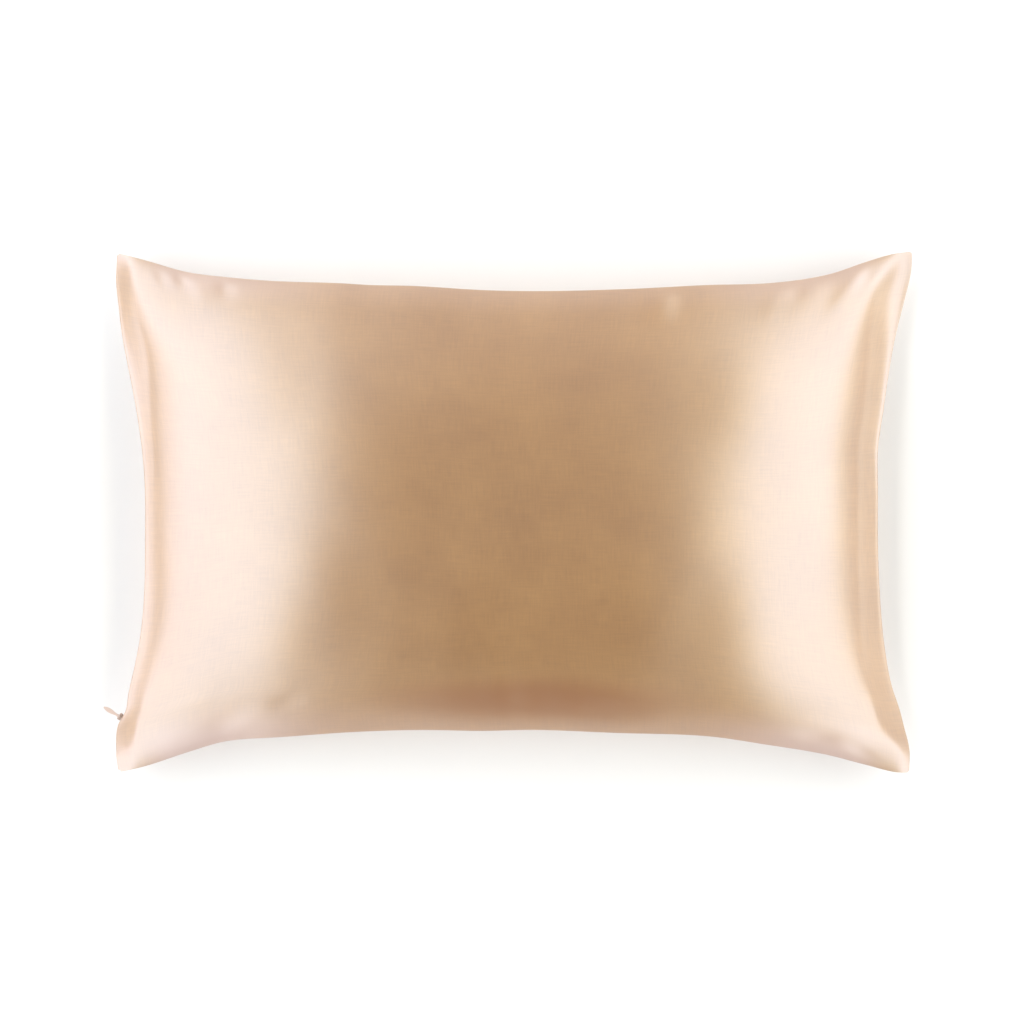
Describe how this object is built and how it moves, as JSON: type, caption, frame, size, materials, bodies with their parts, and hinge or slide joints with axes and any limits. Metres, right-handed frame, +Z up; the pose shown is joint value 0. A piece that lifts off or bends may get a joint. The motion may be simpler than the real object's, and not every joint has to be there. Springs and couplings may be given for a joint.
{
  "type": "filled pillowcase",
  "caption": "Oblong bed pillowcase of glossy satin, filled by its pillow and lying flat, with drawn-in sides, pointed corners and a small zip pull at one end.",
  "frame": {"origin": "the middle of the flat patch on the underside, on which the filled case rests", "axes": "+X along the case's long side, away from the zip; +Y across it, away from the end where the zip's pull is; +Z up, out of the front panel"},
  "size_m": [0.7607, 0.4887, 0.1329],
  "materials": {
    "silk_satin": "caramel silk charmeuse with a broad soft sheen",
    "zip_slider_enamel": "pale pinkish beige enamel",
    "zip_pull_enamel": "pale pinkish beige enamel"
  },
  "bodies": {
    "root": {"filled_case": "silk_satin", "zip_slider": "zip_slider_enamel", "zip_pull": "zip_pull_enamel"}
  },
  "joints": []
}
